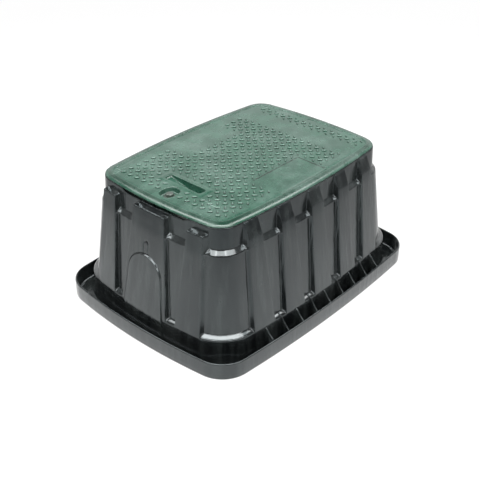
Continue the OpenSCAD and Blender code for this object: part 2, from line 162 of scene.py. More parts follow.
def hump(x, start, full, fall, stop):
    """0 below start, 1 between full and fall, and 0 above stop."""
    return soft_step(x, start, full) * (1 - soft_step(x, fall, stop))


def rounded_line(x, knots, soft):
    """A broken line through the knots with each corner rounded over plus and minus soft."""
    xs, ys = np.array(knots, float).T
    slopes = np.diff(ys) / np.diff(xs)
    value = ys[0] + slopes[0] * (x - xs[0])
    for at, change in zip(xs[1:-1], np.diff(slopes)):
        value = value + change * knee(x - at, soft)
    return value


# The body wall

BAY_LINE = [(4, 44.5), (60, 42.7), (62, 41), (67, 32), (234.8, 10.5), (244.8, 2.5),
            (269.8, 1.5), (289.8, 0.5)]


def bay_growth(z):
    """How far the wall between ribs stands out from the lid outline at height z."""
    return rounded_line(z, BAY_LINE, 1.1)


def crest_growth(z, shoulder):
    """How far a rib's crest stands out: a straight flare under a shoulder, or, where the
    shoulder is low, under a taper."""
    top = RIM_Z - shoulder
    tapered = shoulder < LOW_SHOULDER
    flare_top = top - (TAPER if tapered else CAP)
    slope = (CREST_OUT - CREST_FOOT) / (CREST_Z - FOOT_Z)
    line = [(FLOOR, FOOT_OUT), (FOOT_Z, CREST_FOOT), (flare_top, CREST_OUT + slope * (flare_top - CREST_Z))]
    line += [(top - 1.4, 3.6)] if tapered else []
    return rounded_line(z, line + [(top, 1.0), (RIM_Z + 0.1, 0.5)], 0.8)


def rib_half(rib, z):
    """Half width of a rib's crest at height z."""
    return np.interp(z, [FOOT_Z, RIM_Z], [rib[2], rib[1]])


def wall_growth(zone, at, z, shrink=0.0):
    """Growth of the wall at a place along a zone: the bay's, and each rib's by its share."""
    bay = bay_growth(z)
    growth = bay
    for rib in RIBS[zone]:
        share = crest_share(rib, at, z, shrink)
        growth = growth + share * (crest_growth(z, rib[3]) - bay)
        growth = growth + NUB_RISE * nub_share(rib, at, z) * (1 - share)
    return growth


def crest_share(rib, at, z, shrink=0.0):
    """1 on a rib's crest and 0 off it, fading over the drafted flank."""
    beyond = np.abs(at - rib[0]) - (rib_half(rib, z) - shrink)
    return 1 - (knee(beyond, 0.5) - knee(beyond - RIB_FLANK, 0.3)) / RIB_FLANK


def nub_share(rib, at, z):
    """1 in the corners where the upper ledge meets a rib's flanks, fading out over it."""
    beyond = np.abs(at - rib[0]) - rib_half(rib, z)
    return (1 - soft_step(beyond, 3.0, 9.8)) * hump(z, *NUB_BAND)


def cap_lift(zone, at, z):
    """How far rows rise near the top of an end rib, which levels its cap, less a pit in it."""
    lift = 0.0
    for rib in END_RIBS if zone == END else []:
        top = RIM_Z - rib[3]
        rise = np.interp(z, [top - 34, top - CAP, top], [0, CAP - CAP_FALL, 0])
        half = 12.0 if rib[0] else 33.0
        across = soft_step(np.abs(at - rib[0]), half - 1.5, half)
        pit = hump(z, *(top + CAP_PIT)) * (1 - across)
        lift = lift + crest_share(rib, at, z) * (rise - PIT_DEPTH * pit)
    return lift


def wall_polish(zone, at, z):
    """How polished the wall is: most on the ledges, less on the broad faces, and not at all
    on the neck and the flanks of the ribs."""
    crest = sum((crest_share(rib, at, z) for rib in RIBS[zone]), np.zeros_like(at))
    nubs = sum((nub_share(rib, at, z) for rib in RIBS[zone]), np.zeros_like(at))
    upper, nub = {END: (0.6, 0.0), SIDE: (0.0, 0.45)}.get(zone, (1.0, 0.0))
    ledges = hump(z, *FOOT_LEDGE) + upper * hump(z, *UPPER_LEDGE)
    shine = (1 - crest) * np.maximum(ledges, nub * soft_step(nubs, 0.15, 0.4))
    flank = np.clip(4 * crest * (1 - crest), 0, 1)
    return np.maximum(shine, FACE_POLISH * (1 - flank) * (1 - soft_step(z, 225, 250)))


FLANK_STEPS = np.array([10.2, 7.6, 5.4, 3.8, 3.45, 3.2, 3.0, 2.75, 1.6, 0.5, 0.15, -0.3, -1.0])


def zone_stations(ribs, crests, bay_count):
    """Places along a zone as rows of (at the foot, at the rim), from low to high: both
    flanks of every rib, points across its crest, and points across the bays."""
    rows = []
    for rib, across in zip(ribs, crests):
        centre, rim_half, foot_half = rib[:3]
        left = [(centre - foot_half - t, centre - rim_half - t) for t in FLANK_STEPS]
        crest = [(centre + q * (foot_half - 1.7), centre + q * (rim_half - 1.7)) for q in across]
        right = [(2 * centre - a, 2 * centre - b) for a, b in left[::-1]]
        rows.append(np.array(left + crest + right))
    steps = np.linspace(0, 1, bay_count + 2)[1:-1, None]
    bays = [block[-1] + steps * (after[0] - block[-1]) for block, after in zip(rows, rows[1:])]
    return np.concatenate([part for pair in zip(rows, bays) for part in pair] + [rows[-1]])


RIB_ACROSS = np.array([-0.736, -0.644, 0, 0.644, 0.736])
PANEL_ACROSS = np.array([-0.92, -0.84, -0.802, -0.58, -0.38, -0.19, 0, 0.19, 0.38, 0.58, 0.802, 0.84, 0.92])
END_PLACES = zone_stations(END_RIBS, (RIB_ACROSS, PANEL_ACROSS, RIB_ACROSS), 3)
SIDE_PLACES = zone_stations(SIDE_RIBS, [np.array([-0.5, 0, 0.5])] * 5, 2)
TURN_PLACES = np.repeat(np.linspace(0, 1, 15)[:, None], 2, axis=1)
HALF_ZONES = [(END, END_PLACES), (CORNER, TURN_PLACES), (SIDE, SIDE_PLACES[::-1]),
              (FAR_CORNER, TURN_PLACES[::-1])]


def zone_point(outline, zone, grow, at):
    """Point of a grown outline at a place along one zone of the near half."""
    if zone == END:
        return outline.end(grow, at)
    if zone == SIDE:
        return outline.side(grow, at)
    t = at if outline is LIP else CORNER_FIRST + (1 - CORNER_FIRST) * at
    x, y = outline.turn(grow, t)
    return (x, y) if zone == CORNER else (-x, y)


def place_at(places, z):
    """Places at height z: each runs in a straight line from the foot to the rim."""
    t = np.clip((z - FOOT_Z) / (RIM_Z - FOOT_Z), 0, 1)
    return places[:, :1] + t[None, :] * (places[:, 1:] - places[:, :1])


def stack(*parts):
    """Coordinate arrays as one array of points in millimetres, with polish fourth if given."""
    return np.stack(np.broadcast_arrays(*parts), axis=-1).astype(float)


OUTER_Z = np.concatenate([
    np.arange(288.6, 262.5, -1.3), [258, 253], np.arange(249, 230.5, -1.3),
    [224, 212, 195, 178, 161, 144, 127, 110, 94, 80, 73], np.arange(69.6, 56.5, -1.15),
    [50, 40, 30, 20, 13, 9]])
INNER_Z = np.array([
    3, 12, 30, 48, 54, 56.5, 58, 59.5, 61, 62.5, 64.5, 68, 76, 95, 120, 150, 180, 210, 226, 230,
    233, 236, 239, 242, 245, 250, 258, 262, 266, 270, 274, 277, 280, 283, 286])
THIRDS = (0.33, 0.67)
RIM_ROUND = [(RIM_OUT, -1.2), (RIM_OUT - 0.35, -0.35), (RIM_OUT - 1.2, 0.0), (RIM_OUT - RIM_WALL + 1.2, 0.0),
             (RIM_OUT - RIM_WALL + 0.35, -0.35), (RIM_OUT - RIM_WALL, -1.2)]
FOOT_FILLET = [(0.5, 6.4), (1.4, 4.9), (3.2, 4.0)]
LIP_PATH = [
    (-8.2, 4.0), (-6.5, 4.8), (-5.4, 6.4), (-4.9, 9.0), (-4.4, 22.0), (-4.05, 34.8), (-3.8, 36.2),
    (-3.1, 37.1), (-2.2, 37.4), (-1.3, 37.25), (-0.5, 36.6), (-0.1, 35.4), (0.0, 33.5), (0.0, 18.0),
    (0.0, 2.2), (-0.3, 1.0), (-1.0, 0.25), (-2.2, 0.0)]


def relief_drop(zone, at, z):
    """How far the rim sinks for the relief at each end, fading out down the neck."""
    if zone != END:
        return 0.0
    inside = 1 - soft_step(np.abs(at), RELIEF_HALF - 4, RELIEF_HALF + 4)
    return RELIEF_DEPTH * inside * soft_step(z, RIM_Z - 34, RIM_Z - 2)


def sections(zone, places):
    """Sections of the moulding at the stations of one zone, as an array of stations by
    rows: down the outer wall, across the tray floor, over the lip, under and up inside."""
    def wall_rows(z, grow_at, shift, shrink):
        """Rows at heights z on the lid's outline, grown as the wall is at other heights."""
        at = place_at(places, z)
        x, y = zone_point(RIM, zone, wall_growth(zone, at, grow_at, shrink) + shift, at)
        return at, x, y, z - relief_drop(zone, at, z)

    def ring_rows(outline, path, height=0.0):
        """Rows of an outline grown and raised along a path of (growth, height)."""
        grow, z = np.array(path).T
        at = place_at(places, z + height)
        drop = relief_drop(zone, at, z + height) if height else 0.0
        return stack(*zone_point(outline, zone, grow, at), z + height - drop, RING_POLISH)

    at, x, y, z = wall_rows(OUTER_Z, OUTER_Z, 0.0, 0.0)
    outer = stack(x, y, z + cap_lift(zone, at, OUTER_Z), wall_polish(zone, at, OUTER_Z))
    fillet = ring_rows(RIM, [(FOOT_OUT - 0.15 + g, z) for g, z in FOOT_FILLET])
    lip = ring_rows(LIP, LIP_PATH)
    under = ring_rows(RIM, [(FOOT_OUT - WALL, 0.0)])
    thick = WALL + (RIM_WALL - WALL) * soft_step(INNER_Z, 278, 287)
    inner = stack(*wall_rows(INNER_Z, np.minimum(INNER_Z + 0.75 * WALL, RIM_Z), -thick, 0.7 * WALL)[1:], 0.0)
    rim = ring_rows(RIM, RIM_ROUND, RIM_Z)
    floor = [fillet[:, -1:] + f * (lip[:, :1] - fillet[:, -1:]) for f in THIRDS]
    below = [lip[:, -1:] + f * (under - lip[:, -1:]) for f in THIRDS]
    rows = [rim[:, :3], outer, fillet, *floor, lip, *below, under, inner, rim[:, :2:-1]]
    return np.concatenate(rows, axis=1)


def grid_faces(rows, cols, wrap_rows=False, wrap_cols=False, skip=None):
    """Quads of a grid of points, closed in either direction if told, less masked cells."""
    i, j = np.indices((rows if wrap_rows else rows - 1, cols if wrap_cols else cols - 1)).reshape(2, -1)
    if skip is not None:
        keep = ~skip[i, j]
        i, j = i[keep], j[keep]
    k, m = (i + 1) % rows, (j + 1) % cols
    return np.stack([i * cols + j, k * cols + j, k * cols + m, i * cols + m], axis=1)


def placed(name, data):
    """A new object of the scene for a mesh, lamp or camera."""
    obj = bpy.data.objects.new(name, data)
    bpy.context.scene.collection.objects.link(obj)
    return obj


class Pieces:
    """Patches of points and faces for one mesh, each point with one stored value: the wall's
    polish, or the lid's tone from painted shade over plain to worn with a painted highlight."""

    def __init__(self):
        self.points, self.faces, self.polish, self.count = [], [], [], 0

    def add(self, points, faces, polish=PLAIN_POLISH):
        """Adds points in millimetres, and faces whose numbers count from the first of them."""
        points = np.asarray(points, float).reshape(-1, 3)
        self.points.append(points)
        self.polish.append(np.broadcast_to(np.ravel(polish), len(points)))
        self.faces += (np.asarray(faces) + self.count).tolist()
        self.count += len(points)

    def add_tube(self, rings):
        """A closed tube of rings with a flat cap at each end."""
        rows, cols = rings.shape[:2]
        first = self.count
        self.add(rings, grid_faces(rows, cols, False, True))
        self.faces.append((first + np.arange(cols)).tolist())
        self.faces.append((first + (rows - 1) * cols + np.arange(cols)[::-1]).tolist())

    def mesh(self, name, material, crease=None):
        """One smooth mesh object of everything added, with doubles merged, and sharp where
        its faces meet at more than a crease in degrees."""
        data = bpy.data.meshes.new(name)
        data.from_pydata((np.concatenate(self.points) * MM).tolist(), [], self.faces)
        data.update()
        layer = data.attributes.new("polish", "FLOAT", "POINT")
        layer.data.foreach_set("value", np.concatenate(self.polish).astype(np.float32))
        bm = bmesh.new()
        bm.from_mesh(data)
        bmesh.ops.remove_doubles(bm, verts=bm.verts, dist=WELD)
        bmesh.ops.delete(bm, geom=[v for v in bm.verts if not v.link_faces], context="VERTS")
        bm.to_mesh(data)
        bm.free()
        data.shade_smooth()
        if crease:
            data.set_sharp_from_angle(angle=math.radians(crease))
        data.materials.append(material)
        return placed(name, data)


# The pipe knockout: a patch of the end panel whose lines follow the arched score

ARCH_R, ARCH_Z, ARCH_SPREAD = 47.0, 138.0, 9.0
TAB_HALF, TAB_Z = 6.0, 207.0
SCORE_HALF, SCORE_DEPTH = 1.3, 2.4
DOOR_RISE = 2.6
PATCH_LOW, PATCH_TOP, PATCH_EDGE = 10.5, 222.5, 2.4
PATCH_AWAY = np.array([2.8, 2.2, 1.8, 1.4, 0.9, 0.0, -0.9, -1.4, -1.8, -2.2, -2.8])
PATCH_STEPS, RUNG_COUNT, FAR_AWAY = 24, 13, 9.0
PANEL_LEAN = (END_RIBS[1][2] - END_RIBS[1][1]) / (RIM_Z - FOOT_Z)
PANEL_FIRST = 3 * len(FLANK_STEPS) + len(RIB_ACROSS) + 2
PANEL_LAST = PANEL_FIRST + len(PANEL_ACROSS) + 1
PATCH_ROWS = (3 + int(np.abs(OUTER_Z - 224).argmin()), 3 + len(OUTER_Z) - 1)


def arch_path():
    """The score's middle line as (y, z), up one leg, over the arch, with close points under
    the pull tab, and down the other leg."""
    foot = np.array([-(ARCH_R + ARCH_SPREAD), FOOT_Z - ARCH_Z])
    reach = math.acos(ARCH_R / np.hypot(*foot))
    meet = math.atan2(foot[1], foot[0]) + 2 * math.pi - reach
    close = np.arccos(np.linspace(-12, 12, 25) / ARCH_R)
    left = np.linspace(meet, close[0], 12)
    touch = ARCH_R * np.array([math.cos(meet), math.sin(meet)])
    leg = np.array([[foot[0], z - ARCH_Z] for z in np.linspace(PATCH_LOW, FOOT_Z, 7)[:-1]])
    slant = foot + np.linspace(0, 1, 9)[:-1, None] * (touch - foot)
    arc = ARCH_R * np.stack([np.cos(left), np.sin(left)], axis=1)
    over = ARCH_R * np.stack([np.cos(close[1:13]), np.sin(close[1:13])], axis=1)
    half = np.concatenate([leg, slant, arc, over])
    return np.concatenate([half, half[-2::-1] * [-1, 1]]) + [0, ARCH_Z]


def patch_half(z):
    """Half width of the patch at height z."""
    return END_RIBS[1][2] - PATCH_EDGE - PANEL_LEAN * np.maximum(z - FOOT_Z, 0)


def patch_edge(path):
    """Where a line from the arch meets the patch's edge: level from each leg, and out of
    the arch's centre above it."""
    y, z = path.T
    out = np.stack([y, np.maximum(z - ARCH_Z, 0)], axis=1)
    to_side = patch_half(ARCH_Z) / (np.abs(out[:, 0]) + PANEL_LEAN * out[:, 1] + 1e-9)
    to_top = (PATCH_TOP - ARCH_Z) / np.maximum(out[:, 1], 1e-9)
    grown = out * np.minimum(to_side, to_top)[:, None] + [0, ARCH_Z]
    level = np.stack([np.sign(y) * patch_half(z), z], axis=1)
    edge = np.where((z > ARCH_Z)[:, None], grown, level)
    for sign in (-1, 1):
        corner = np.array([sign * patch_half(PATCH_TOP), PATCH_TOP])
        edge[np.abs(edge - corner).sum(axis=1).argmin()] = corner
    return edge


def door_rise(away, z):
    """How far the door stands proud inside the arch, fading out above the tray."""
    return DOOR_RISE * (1 - soft_step(away, -1.5, 0.2)) * soft_step(z, 12, 26)


def score_drop(away, y, z):
    """Depth of the scores: the arch by distance from its line, and the tab's outline."""
    tab = np.where(z < TAB_Z, np.abs(np.abs(y) - TAB_HALF), np.abs(np.hypot(y, z - TAB_Z) - TAB_HALF))
    tab = np.where(z < ARCH_Z + ARCH_R - 1, FAR_AWAY, tab)
    near = np.minimum(np.abs(away), tab)
    return SCORE_DEPTH * (1 - soft_step(near, SCORE_HALF - 0.7, SCORE_HALF + 0.6)) - door_rise(away, z)


def panel_points(at, depth):
    """Points of the end panel at places (y, z), sunk by a depth."""
    y, z = at[..., 0], at[..., 1]
    return stack(*RIM.end(wall_growth(END, y, z) - depth, y), z)


def zip_loops(outer, inner, outer_at, inner_at):
    """Triangles between two rows of point numbers, each stepped on in order of its place
    along the way."""
    faces, i, j = [], 0, 0
    last_i, last_j = len(outer) - 1, len(inner) - 1
    while i < last_i or j < last_j:
        if j == last_j or (i < last_i and outer_at[i + 1] <= inner_at[j + 1]):
            faces.append((outer[i], inner[j], outer[i + 1]))
            i += 1
        else:
            faces.append((outer[i], inner[j], inner[j + 1]))
            j += 1
    return faces


def places_along(points):
    """Places of points along a path, from 0 to 1 by length."""
    steps = np.linalg.norm(np.diff(points, axis=0), axis=1)
    return np.concatenate([[0], np.cumsum(steps)]) / steps.sum()


def knockout_patch(pieces, half, turn):
    """Fills the gap left in an end panel: lines from its edge in to the arch, across the
    score, and level rungs between its legs. The edge is zipped to the shell."""
    path = arch_path()
    count = len(path)
    ahead = np.gradient(path, axis=0)
    normal = np.stack([-ahead[:, 1], ahead[:, 0]], axis=1)
    normal[[0, -1]] = [[-1, 0], [1, 0]]
    normal /= np.linalg.norm(normal, axis=1)[:, None]
    edge = patch_edge(path)
    score = path[None] + PATCH_AWAY[:, None, None] * normal[None]
    loft = edge[None] + np.linspace(0, 1, PATCH_STEPS + 1)[:-1, None, None] * (score[0] - edge)[None]
    rings = np.concatenate([loft, score])
    distance = np.concatenate([np.full(PATCH_STEPS, FAR_AWAY), PATCH_AWAY])[:, None]
    first = pieces.count
    mesh = panel_points(rings, score_drop(distance, rings[..., 0], rings[..., 1])) * turn
    pieces.add(mesh, grid_faces(*mesh.shape[:2]), FACE_POLISH)
    middle = count // 2 + 1
    inner, mirror = score[-1, :middle], score[-1, ::-1][:middle]
    rungs = inner[:, None] + np.linspace(0, 1, RUNG_COUNT)[None, :, None] * (mirror - inner)[:, None]
    door = panel_points(rungs, -door_rise(-FAR_AWAY, rungs[..., 1])) * turn
    pieces.add(door, grid_faces(middle, RUNG_COUNT)[:, ::-1], FACE_POLISH)
    top, low = PATCH_ROWS
    rows = half.shape[1]
    base = 0 if turn[0] > 0 else half.shape[0] * rows
    left = [base + PANEL_FIRST * rows + r for r in range(low, top - 1, -1)]
    across = [base + s * rows + top for s in range(PANEL_FIRST + 1, PANEL_LAST)]
    right = [base + PANEL_LAST * rows + r for r in range(top, low + 1)]
    arch_shell = np.concatenate([half[PANEL_FIRST, low:top - 1:-1], half[PANEL_FIRST + 1:PANEL_LAST, top],
                                 half[PANEL_LAST, top:low + 1]])[:, 1:3]
    loop = range(first, first + count)
    pieces.faces += zip_loops(left + across + right, loop, places_along(arch_shell), places_along(edge))
    foot = [base + s * rows + low for s in range(PANEL_LAST, PANEL_FIRST - 1, -1)]
    foot_y = half[PANEL_LAST:PANEL_FIRST - 1:-1, low, 1]
    left_leg = [first + r * count for r in range(len(rings))]
    right_leg = [i + count - 1 for i in left_leg]
    rung = [first + len(rings) * count + i for i in range(RUNG_COUNT - 2, 0, -1)]
    low_y = np.concatenate([rings[:, -1, 0], rungs[0, -2:0:-1, 0], rings[::-1, 0, 0]])
    pieces.faces += zip_loops(foot, right_leg + rung + left_leg[::-1], -foot_y, -low_y)


# The webs in the tray and the shelf for the clip

GUSSET_HALF = 1.5
GUSSET_X = np.linspace(-180, 180, 9)
RIB_GUSSET = [(41.5, 58.8), (44.5, 57.6), (46.5, 56.4)]
BAY_GUSSET = [(33.5, 68.0), (36.0, 67.4), (42.0, 63.8), (45.0, 60.5)]


def gusset(pieces, x, sign, start):
    """A thin web from the wall down to the lip: an upright section with a rounded top,
    carried along a slightly hollow line."""
    wall = [(RIM.side(grow, x)[1], z) for grow, z in start]
    tip = np.array([LIP.side(-LIP_WALL / 2, x)[1], LIP_Z - 1.6])
    t = np.linspace(0, 1, 9)[1:, None]
    line = np.array(wall[-1]) + t * (tip - wall[-1])
    line[:, 1] -= 1.6 * np.sin(math.pi * t[:, 0])
    y, z = np.concatenate([wall, line]).T
    across = np.array([1, 1, 0.75, 0.3, -0.3, -0.75, -1, -1]) * GUSSET_HALF
    drop = np.array([0, 1.1, 0.35, 0, 0, 0.35, 1.1, 0])
    heights = z[:, None] - drop
    heights[:, [0, -1]] = FLOOR / 2
    pieces.add_tube(stack(x + across * sign, sign * y[:, None], heights))


def clip_shelf(pieces):
    """The shelf inside the lock end: a plate bored for the bolt, with two webs under it."""
    half, free = SHELF_HALF, BOLT_X + SHELF_HALF
    wall_x = -LID_HALF_X - float(crest_growth(np.array(SHELF_Z), END_RIBS[1][3])) + WALL / 2
    angle = np.arange(48) * math.tau / 48 + math.tau / 96
    cos, sin = np.cos(angle), np.sin(angle)
    bore = stack(BOLT_X + SHELF_BORE * cos, SHELF_BORE * sin, 0)
    reach = np.minimum(np.where(cos > 0, free - BOLT_X, BOLT_X - wall_x) / np.abs(cos), half / np.abs(sin))
    rim = stack(BOLT_X + reach * cos, reach * sin, 0)
    for corner in ((free, half), (wall_x, half), (wall_x, -half), (free, -half)):
        rim[np.abs(rim[:, :2] - corner).sum(axis=1).argmin(), :2] = corner
    inward = (bore - rim) / np.linalg.norm(bore - rim, axis=1)[:, None]
    soft, lip = rim + 0.8 * inward, bore - 0.4 * inward
    top, low = SHELF_Z, SHELF_Z - SHELF_T
    levels = [(bore, low + 0.4), (lip, low), (soft, low), (rim, low + 0.8), (rim, top - 0.8),
              (soft, top), (lip, top), (bore, top - 0.4)]
    rings = np.stack([ring + [0, 0, z] for ring, z in levels])
    pieces.add(rings, grid_faces(*rings.shape[:2], True, True)[:, ::-1])
    web = np.array([(wall_x, low + 2.5), (free - 8, low + 2.5), (free - 8, low - 0.5), (wall_x, low - 40)])
    for y in (-half + WALL / 2, half - WALL / 2):
        rings = []
        for off, drawn_in in ((1.0, 0.02), (0.75, 0.0), (-0.75, 0.0), (-1.0, 0.02)):
            x, z = (web + (web.mean(axis=0) - web) * drawn_in).T
            rings.append(stack(x, y + off * WALL / 2, z))
        pieces.add_tube(np.stack(rings))


def body_shell(material):
    """The black moulding: the sections of both halves joined into one closed surface, with
    the knockouts set into its end panels, the webs and the clip shelf."""
    half = np.concatenate([sections(zone, places) for zone, places in HALF_ZONES])
    both = np.concatenate([half, half * [-1, -1, 1, 1]])
    pieces = Pieces()
    open_cells = np.zeros(both.shape[:2], bool)
    for first in (PANEL_FIRST, half.shape[0] + PANEL_FIRST):
        open_cells[first:first + PANEL_LAST - PANEL_FIRST, PATCH_ROWS[0]:PATCH_ROWS[1]] = True
    faces = grid_faces(both.shape[0], both.shape[1], True, True, open_cells)[:, ::-1]
    pieces.add(both[..., :3], faces, both[..., 3])
    for turn in ([1, 1, 1], [-1, -1, 1]):
        knockout_patch(pieces, half, np.array(turn))
    for k, x in enumerate(GUSSET_X):
        for sign in (-1, 1):
            gusset(pieces, x, sign, RIB_GUSSET if k % 2 == 0 else BAY_GUSSET)
    clip_shelf(pieces)
    return pieces.mesh("body_shell", material)


# The lid

FIELD_EDGE_Z = FIELD_Z - TREAD_HEIGHT
PAD_RISE, PAD_BOX = 0.45, (-191, -155.5, -59, 60)
PANEL_DROP, PANEL_BOX = 1.1, (-72.5, 72.5, -300, -90)
LINE_X, LINE_Y = 192.0, 100.0
MITRE_X, MITRE_Y = RIM.cx + FIELD_CORNER * math.sqrt(0.5), RIM.cy + FIELD_CORNER * math.sqrt(0.5)
END_REACH = (RIM.end_r - FIELD_INSET) * math.sin(RIM.end_angle)
SIDE_REACH = (RIM.side_r - FIELD_INSET) * math.cos(RIM.side_angle)


def corner_reach(past, centre):
    """How far the field's corner arc reaches, past its centre in the other direction."""
    return centre + np.sqrt(np.maximum(FIELD_CORNER**2 - past**2, 0))


def field_edge_x(y):
    """Half length of the tread field at y: the end arc, then the corner arc."""
    y = np.abs(y)
    arc = RIM.end(-FIELD_INSET, np.minimum(y, END_REACH))[0]
    return np.where(y > END_REACH, corner_reach(y - RIM.cy, RIM.cx), arc)


def field_edge_y(x):
    """Half width of the tread field at x: the side arc, then the corner arc."""
    x = np.abs(x)
    arc = RIM.side(-FIELD_INSET, np.minimum(x, SIDE_REACH))[1]
    return np.where(x > SIDE_REACH, corner_reach(x - RIM.cx, RIM.cy), arc)


def field_point(u, v):
    """Maps a rectangle onto the bowed tread field: straight lines in the middle, and
    spread lines near the edge, so that the rectangle's edge falls on the outline."""
    out_x = (np.abs(u) - LINE_X) / (MITRE_X - LINE_X)
    out_y = (np.abs(v) - LINE_Y) / (MITRE_Y - LINE_Y)
    x = np.where(out_x > 0, np.sign(u) * (LINE_X + out_x * (field_edge_x(v) - LINE_X)), u)
    y = np.where(out_y > 0, np.sign(v) * (LINE_Y + out_y * (field_edge_y(u) - LINE_Y)), v)
    return x, y


def in_box(x, y, low_x, high_x, low_y, high_y, soft=0.7):
    """1 inside a rectangle and 0 outside, fading over soft millimetres at its edge."""
    across = hump(x, low_x - soft, low_x + soft, high_x - soft, high_x + soft)
    return across * hump(y, low_y - soft, low_y + soft, high_y - soft, high_y + soft)


def crown_height(x, y):
    """Rise of the lid: nothing at the edge of the field and most in its middle."""
    across = np.clip(np.abs(x) / field_edge_x(y), 0, 1)
    along = np.clip(np.abs(y) / field_edge_y(x), 0, 1)
    return CROWN * (1 - across**2) * (1 - along**2)


def field_height(x, y):
    """The tread field: the crown, a pad round the shovel slot, and a sunk plain panel at
    the near side."""
    pad = PAD_RISE * in_box(x, y, *PAD_BOX)
    panel = PANEL_DROP * in_box(x, y, *PANEL_BOX, 0.1)
    return FIELD_EDGE_Z + crown_height(x, y) + pad - panel


def grid_lines(pitch, reach, exact):
    """Lines at an even pitch from -reach to reach, with exact ones taking the place of
    any that lie close to them."""
    exact = sorted(exact + [-reach, reach])
    even = np.arange(-math.floor(reach / pitch), math.floor(reach / pitch) + 1) * pitch
    even = [v for v in even if min(abs(v - m) for m in exact) > 0.35 * pitch]
    return np.array(sorted(list(even) + exact))


POCKET_CELLS = (-227.7, -194.1, -20.5, 20.5)
SLOT_CELLS = (-185.6, -161.4, -54.0, 54.0)
PANEL_LINES = [70.6, 71.3, 72.4, 72.6, 73, 74.2]
FIELD_U = grid_lines(8.0, MITRE_X, [-227.7, -194.1, -191.7, -190.3, -185.6, -161.4, -156.2, -154.8]
                     + [-x for x in PANEL_LINES] + PANEL_LINES)
FIELD_V = grid_lines(8.0, MITRE_Y, [-91.9, -91.2, -90.1, -89.9, -89.5, -88.3, -59.7, -58.3, -54, -20.5, 20.5,
                                    54, 59.3, 60.7])


def cell_loop(cells):
    """Grid indices round a block of cells, anticlockwise, and where each point lies: its
    side from 0 to 3 and its place from -1 to 1 along that side."""
    i0, i1 = (int(np.abs(FIELD_U - v).argmin()) for v in cells[:2])
    j0, j1 = (int(np.abs(FIELD_V - v).argmin()) for v in cells[2:])
    along_u, along_v = np.arange(i0, i1), np.arange(j0, j1)
    i = np.concatenate([along_u, np.full(j1 - j0, i1), along_u[::-1] + 1, np.full(j1 - j0, i0)])
    j = np.concatenate([np.full(i1 - i0, j0), along_v, np.full(i1 - i0, j1), along_v[::-1] + 1])
    side = np.repeat([0, 1, 2, 3], [i1 - i0, j1 - j0, i1 - i0, j1 - j0])
    u = 2 * (FIELD_U[i] - FIELD_U[i0]) / (FIELD_U[i1] - FIELD_U[i0]) - 1
    v = 2 * (FIELD_V[j] - FIELD_V[j0]) / (FIELD_V[j1] - FIELD_V[j0]) - 1
    return i, j, side, np.choose(side, [u, v, -u, -v])


def rounded_rect(side, place, half_x, half_y, corner):
    """Points of a rounded rectangle matched to a loop: along each side by length, from the
    middle of one corner arc to the middle of the next."""
    half_out = np.where(side % 2 == 0, half_y, half_x)
    straight = np.where(side % 2 == 0, half_x, half_y) - corner
    run = np.abs(place) * (straight + corner * math.pi / 4)
    bend = np.maximum(run - straight, 0) / max(corner, 1e-9)
    along = np.sign(place) * (np.minimum(run, straight) + corner * np.sin(bend))
    out = half_out - corner + corner * np.cos(bend)
    return np.choose(side, [along, out, -along, -out]), np.choose(side, [-out, along, out, -along])


def well(top_loop, low_loop, loop, centre_x, rings):
    """Surface of a well through the lid: rounded rectangles from the loop of the top grid
    down to the loop of the lower one, each with its own height."""
    side, place = loop[2:]
    stages = [top_loop]
    for half_x, half_y, corner, height in rings:
        x, y = rounded_rect(side, place, half_x, half_y, corner)
        x = x + centre_x
        stages.append(stack(x, y, height(x, y) if callable(height) else height))
    if low_loop is not None:
        stages.append(low_loop)
    return np.stack(stages)


def above(rise):
    """A height rise millimetres above the tread field."""
    return lambda x, y: field_height(x, y) + rise


def slot_floor(drop):
    """The slot's ramp: deep over the near third and shallow at the far end."""
    return lambda x, y: FIELD_Z - np.interp(y, [-50, -20, 50], [20.0, 20.0, 4.0]) - drop


def rings_of(half_x, half_y, corner, steps):
    """Rings of a well as a rounded rectangle grown by steps, each with its height."""
    return [(half_x + grow, half_y + grow, corner + grow, height) for grow, height in steps]


POCKET_RINGS = rings_of(20.0, 17.0, 13.0, [
    (2.4, above(0.0)), (1.2, above(-0.15)), (0.4, above(-0.9)), (0.0, above(-2.2)), (-0.4, 290.5),
    (-0.7, POCKET_FLOOR + 1.3), (-1.2, POCKET_FLOOR + 0.4), (-2.4, POCKET_FLOOR)])
POCKET_RINGS += [(12.8, 12.2, 11.0, POCKET_FLOOR)] + rings_of(0.0, 0.0, 0.0, [
    (6.2, POCKET_FLOOR), (5.4, POCKET_FLOOR - 0.6), (5.4, 274.4), (6.0, SKIRT_LOW), (11.2, SKIRT_LOW),
    (12.0, 274.6), (12.0, 281.0), (13.0, 282.4)])
POCKET_RINGS += rings_of(20.0, 17.0, 13.0, [(1.5, 282.7), (2.8, 283.6), (3.0, 291.8)])
SLOT_RINGS = rings_of(9.5, 50.0, 4.0, [
    (1.8, above(0.0)), (0.9, above(-0.15)), (0.3, above(-0.8)), (0.0, above(-2.0)), (-0.1, above(-3.2)),
    (-0.5, slot_floor(-1.0)), (-1.3, slot_floor(-0.2))])
SLOT_RINGS += [(6.8, 47.3, 1.5, slot_floor(0.0)), (0.0, 40.5, 0.0, slot_floor(0.0))]
SLOT_UNDER = [
    (0.0, 40.5, 0.0, slot_floor(3.0)), (11.0, 51.5, 3.0, slot_floor(3.0)),
    (12.0, 52.8, 4.0, lambda x, y: np.minimum(slot_floor(2.0)(x, y), 292.4)),
    (12.1, 53.0, 4.0, lambda x, y: np.maximum(slot_floor(2.0)(x, y), 292.6))]
